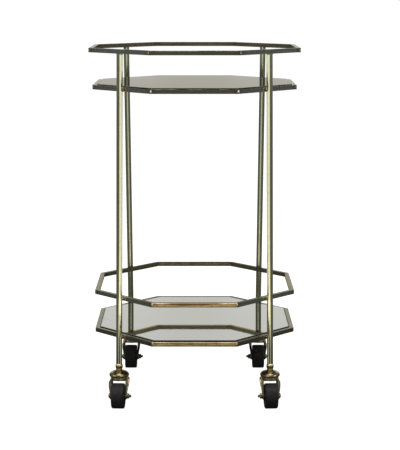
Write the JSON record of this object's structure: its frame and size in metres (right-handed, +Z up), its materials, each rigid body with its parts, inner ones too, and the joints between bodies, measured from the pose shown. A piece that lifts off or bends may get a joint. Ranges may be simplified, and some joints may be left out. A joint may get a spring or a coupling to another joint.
{
  "type": "serving trolley",
  "caption": "Octagonal brass serving trolley with two mirror-topped shelves, guard rails, tube legs and swivel casters.",
  "frame": {"origin": "on the floor under the middle of the trolley", "axes": "+Z up, -Y the front of the trolley, +X to its right"},
  "size_m": [0.4354, 0.4354, 0.7425],
  "materials": {
    "brass_bar": "aged, softly polished square brass bar",
    "brass_tube": "polished brass tube with light speckled wear",
    "brass_caster": "brassed pressed steel, worn",
    "mirror": "grey-tinted mirror glass",
    "edge_strip": "matt black edge strip",
    "tyre": "matt black hard rubber, lightly scuffed",
    "hub": "dark moulded hub",
    "steel": "plain steel"
  },
  "bodies": {
    "frame": {"braze_fillets": "brass_bar", "caster_stems": "brass_caster", "front_left_leg": "brass_tube", "front_left_swivel_cap": "brass_caster", "front_right_leg": "brass_tube", "front_right_swivel_cap": "brass_caster", "leg_top_plugs": "brass_bar", "lower_edge_strip": "edge_strip", "lower_guard_rail": "brass_bar", "lower_mirror": "mirror", "lower_shelf_frame": "brass_bar", "lower_support_lugs": "brass_bar", "neck_nuts": "brass_caster", "rear_left_leg": "brass_tube", "rear_left_swivel_cap": "brass_caster", "rear_right_leg": "brass_tube", "rear_right_swivel_cap": "brass_caster", "stem_collars": "brass_caster", "stem_sockets": "brass_caster", "upper_edge_strip": "edge_strip", "upper_guard_rail": "brass_bar", "upper_mirror": "mirror", "upper_shelf_frame": "brass_bar", "upper_support_lugs": "brass_bar"},
    "front_left_caster": {"front_left_swivel_balls": "steel", "front_left_fork": "brass_caster", "front_left_axle_bolt": "brass_caster", "front_left_axle_washer": "brass_caster", "front_left_axle_nut": "brass_caster", "front_left_axle_sleeve": "steel"},
    "front_left_wheel": {"front_left_wheel_hub": "hub", "front_left_tyre": "tyre"},
    "front_right_caster": {"front_right_swivel_balls": "steel", "front_right_fork": "brass_caster", "front_right_axle_bolt": "brass_caster", "front_right_axle_washer": "brass_caster", "front_right_axle_nut": "brass_caster", "front_right_axle_sleeve": "steel"},
    "front_right_wheel": {"front_right_wheel_hub": "hub", "front_right_tyre": "tyre"},
    "rear_left_caster": {"rear_left_swivel_balls": "steel", "rear_left_fork": "brass_caster", "rear_left_axle_bolt": "brass_caster", "rear_left_axle_washer": "brass_caster", "rear_left_axle_nut": "brass_caster", "rear_left_axle_sleeve": "steel"},
    "rear_left_wheel": {"rear_left_wheel_hub": "hub", "rear_left_tyre": "tyre"},
    "rear_right_caster": {"rear_right_swivel_balls": "steel", "rear_right_fork": "brass_caster", "rear_right_axle_bolt": "brass_caster", "rear_right_axle_washer": "brass_caster", "rear_right_axle_nut": "brass_caster", "rear_right_axle_sleeve": "steel"},
    "rear_right_wheel": {"rear_right_wheel_hub": "hub", "rear_right_tyre": "tyre"}
  },
  "joints": [
    {"name": "front_left_swivel", "type": "hinge", "parent": "frame", "child": "front_left_caster", "pos_m": [-0.15769, -0.14757, 0.0642], "axis": [0, 0, 1], "continuous": true},
    {"name": "front_left_roll", "type": "hinge", "parent": "front_left_caster", "child": "front_left_wheel", "pos_m": [-0.15891, -0.16753, 0.0265], "axis": [0.9981, -0.061, 0], "continuous": true},
    {"name": "front_right_swivel", "type": "hinge", "parent": "frame", "child": "front_right_caster", "pos_m": [0.15769, -0.14757, 0.0642], "axis": [0, 0, 1], "continuous": true},
    {"name": "front_right_roll", "type": "hinge", "parent": "front_right_caster", "child": "front_right_wheel", "pos_m": [0.15891, -0.16753, 0.0265], "axis": [0.9981, 0.061, 0], "continuous": true},
    {"name": "rear_left_swivel", "type": "hinge", "parent": "frame", "child": "rear_left_caster", "pos_m": [-0.14626, 0.159, 0.0642], "axis": [0, 0, 1], "continuous": true},
    {"name": "rear_left_roll", "type": "hinge", "parent": "rear_left_caster", "child": "rear_left_wheel", "pos_m": [-0.14626, 0.139, 0.0265], "axis": [1, 0, 0], "continuous": true},
    {"name": "rear_right_swivel", "type": "hinge", "parent": "frame", "child": "rear_right_caster", "pos_m": [0.14626, 0.159, 0.0642], "axis": [0, 0, 1], "continuous": true},
    {"name": "rear_right_roll", "type": "hinge", "parent": "rear_right_caster", "child": "rear_right_wheel", "pos_m": [0.14626, 0.139, 0.0265], "axis": [1, 0, 0], "continuous": true}
  ]
}
